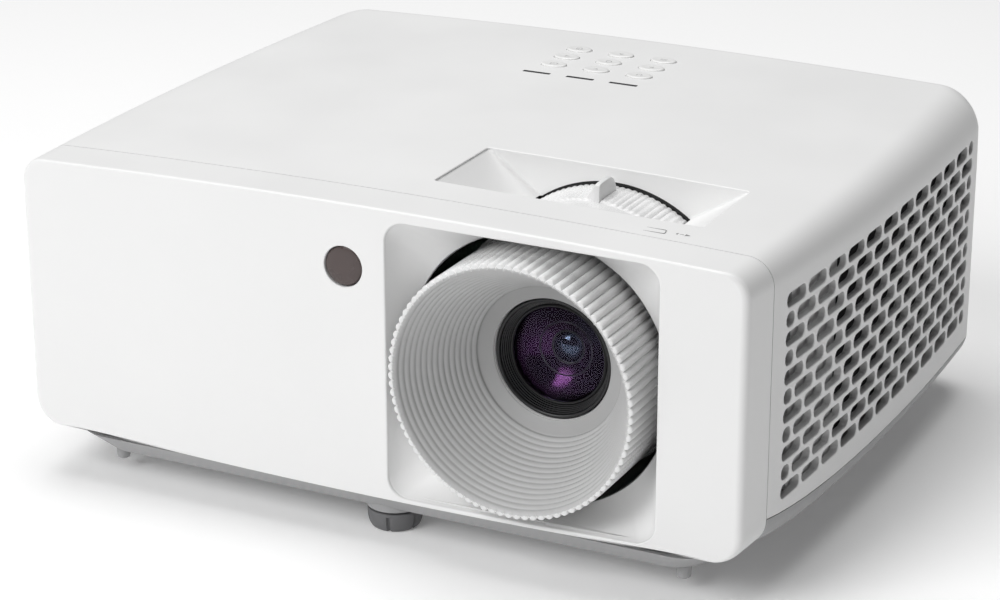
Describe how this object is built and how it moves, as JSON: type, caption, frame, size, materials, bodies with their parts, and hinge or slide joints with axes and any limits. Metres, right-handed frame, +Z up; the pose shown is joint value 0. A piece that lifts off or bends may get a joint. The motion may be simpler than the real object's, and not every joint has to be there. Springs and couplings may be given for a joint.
{
  "type": "home projector",
  "caption": "Compact home projector with a ribbed focus ring set in a square recess, a zoom ring under a top pocket, keypad, side grilles and adjustable front foot.",
  "frame": {"origin": "middle of the footprint, on the surface the feet stand on", "axes": "+X along the width, towards the side nearer the lens; -Y is the front, where the lens looks; +Z up"},
  "size_m": [0.274, 0.2302, 0.1176],
  "materials": {
    "white_shell": "fine matt moulded texture",
    "key_plastic": "satin",
    "ring_plastic": "satin moulded",
    "grey_base": "fine matt moulded texture",
    "black_plastic": "satin black",
    "foot_rubber": "matt",
    "lens_glass": "coated optical glass",
    "ir_filter": "polished dark infrared filter",
    "aluminium": "die cast",
    "steel": "plated",
    "circuit_board": "solder resist",
    "light_pipe": "smoked clear",
    "phosphor_ring": "coated disc"
  },
  "bodies": {
    "casing": {"top_cover": "white_shell", "front_bezel": "white_shell", "intake_grille": "white_shell", "exhaust_grille": "white_shell", "bottom_cover": "grey_base", "rear_panel": "grey_base", "ac_inlet": "black_plastic", "lan_port": "black_plastic", "audio_jack": "black_plastic", "exhaust_fan_frame": "black_plastic", "intake_fan_frame": "black_plastic", "speaker": "black_plastic", "rear_foot_left": "foot_rubber", "rear_foot_right": "foot_rubber", "corner_peg_left": "foot_rubber", "corner_peg_right": "foot_rubber", "ir_window": "ir_filter", "lens_mount": "aluminium", "optical_engine": "aluminium", "dmd_heat_sink": "aluminium", "laser_heat_sink": "aluminium", "laser_module": "aluminium", "case_screw_1": "steel", "case_screw_2": "steel", "case_screw_3": "steel", "case_screw_4": "steel", "wheel_motor": "steel", "hdmi_port_a": "steel", "hdmi_port_b": "steel", "usb_port": "steel", "serial_port": "steel", "power_supply": "circuit_board", "main_board": "circuit_board", "keypad_board": "circuit_board", "ir_receiver_board": "circuit_board", "led_power": "light_pipe", "led_light_source": "light_pipe", "led_temperature": "light_pipe"},
    "focus_ring": {"focus_ring": "ring_plastic"},
    "front_lens_group": {"front_lens_cell": "black_plastic", "lens_retaining_ring": "black_plastic", "front_lens": "lens_glass"},
    "zoom_ring": {"zoom_ring": "ring_plastic"},
    "zoom_lens_group": {"zoom_lens_cell": "black_plastic", "zoom_lens": "lens_glass"},
    "front_foot_screw": {"front_foot_screw": "steel"},
    "front_foot_knob": {"front_foot_knob": "foot_rubber"},
    "exhaust_fan_rotor": {"exhaust_fan_rotor": "black_plastic"},
    "intake_fan_rotor": {"intake_fan_rotor": "black_plastic"},
    "phosphor_wheel": {"phosphor_wheel": "phosphor_ring"},
    "key_source": {"key_source": "key_plastic"},
    "key_down": {"key_down": "key_plastic"},
    "key_resync": {"key_resync": "key_plastic"},
    "key_left": {"key_left": "key_plastic"},
    "key_enter": {"key_enter": "key_plastic"},
    "key_right": {"key_right": "key_plastic"},
    "key_power": {"key_power": "key_plastic"},
    "key_up": {"key_up": "key_plastic"},
    "key_menu": {"key_menu": "key_plastic"}
  },
  "joints": [
    {"name": "focus_turn", "type": "hinge", "parent": "casing", "child": "focus_ring", "pos_m": [0.0546, -0.10785, 0.066], "axis": [0, 1, 0], "range_deg": [-45, 45]},
    {"name": "focus_travel", "type": "slide", "parent": "casing", "child": "front_lens_group", "axis": [0, 1, 0], "range_m": [-0.0012, 0.0012]},
    {"name": "zoom_turn", "type": "hinge", "parent": "casing", "child": "zoom_ring", "pos_m": [0.0546, -0.10785, 0.066], "axis": [0, 1, 0], "range_deg": [-25, 25]},
    {"name": "zoom_travel", "type": "slide", "parent": "casing", "child": "zoom_lens_group", "axis": [0, 1, 0], "range_m": [-0.0025, 0.0025]},
    {"name": "key_source_press", "type": "slide", "parent": "casing", "child": "key_source", "axis": [0, 0, -1], "range_m": [0, 0.0005], "stiffness_N_per_m": 2000, "springref_m": -0.0004},
    {"name": "key_down_press", "type": "slide", "parent": "casing", "child": "key_down", "axis": [0, 0, -1], "range_m": [0, 0.0005], "stiffness_N_per_m": 2000, "springref_m": -0.0004},
    {"name": "key_resync_press", "type": "slide", "parent": "casing", "child": "key_resync", "axis": [0, 0, -1], "range_m": [0, 0.0005], "stiffness_N_per_m": 2000, "springref_m": -0.0004},
    {"name": "key_left_press", "type": "slide", "parent": "casing", "child": "key_left", "axis": [0, 0, -1], "range_m": [0, 0.0005], "stiffness_N_per_m": 2000, "springref_m": -0.0004},
    {"name": "key_enter_press", "type": "slide", "parent": "casing", "child": "key_enter", "axis": [0, 0, -1], "range_m": [0, 0.0005], "stiffness_N_per_m": 2000, "springref_m": -0.0004},
    {"name": "key_right_press", "type": "slide", "parent": "casing", "child": "key_right", "axis": [0, 0, -1], "range_m": [0, 0.0005], "stiffness_N_per_m": 2000, "springref_m": -0.0004},
    {"name": "key_power_press", "type": "slide", "parent": "casing", "child": "key_power", "axis": [0, 0, -1], "range_m": [0, 0.0005], "stiffness_N_per_m": 2000, "springref_m": -0.0004},
    {"name": "key_up_press", "type": "slide", "parent": "casing", "child": "key_up", "axis": [0, 0, -1], "range_m": [0, 0.0005], "stiffness_N_per_m": 2000, "springref_m": -0.0004},
    {"name": "key_menu_press", "type": "slide", "parent": "casing", "child": "key_menu", "axis": [0, 0, -1], "range_m": [0, 0.0005], "stiffness_N_per_m": 2000, "springref_m": -0.0004},
    {"name": "front_foot_raise", "type": "slide", "parent": "casing", "child": "front_foot_screw", "axis": [0, 0, -1], "range_m": [0, 0.01]},
    {"name": "front_foot_turn", "type": "hinge", "parent": "front_foot_screw", "child": "front_foot_knob", "pos_m": [0, -0.08925, 0.004], "axis": [0, 0, 1], "range_deg": [0, 1801]},
    {"name": "exhaust_fan_spin", "type": "hinge", "parent": "casing", "child": "exhaust_fan_rotor", "pos_m": [-0.114, 0.04215, 0.066], "axis": [1, 0, 0], "continuous": true},
    {"name": "intake_fan_spin", "type": "hinge", "parent": "casing", "child": "intake_fan_rotor", "pos_m": [0.115, 0.01015, 0.066], "axis": [1, 0, 0], "continuous": true},
    {"name": "phosphor_wheel_spin", "type": "hinge", "parent": "casing", "child": "phosphor_wheel", "pos_m": [0.0133, -0.01085, 0.066], "axis": [1, 0, 0], "continuous": true}
  ],
  "couplings": [
    {"joint": "focus_travel", "follows": "focus_turn", "m_per_rad": 0.0015264},
    {"joint": "zoom_travel", "follows": "zoom_turn", "m_per_rad": 0.0057238},
    {"joint": "front_foot_turn", "follows": "front_foot_raise", "rad_per_m": 3141.6}
  ]
}
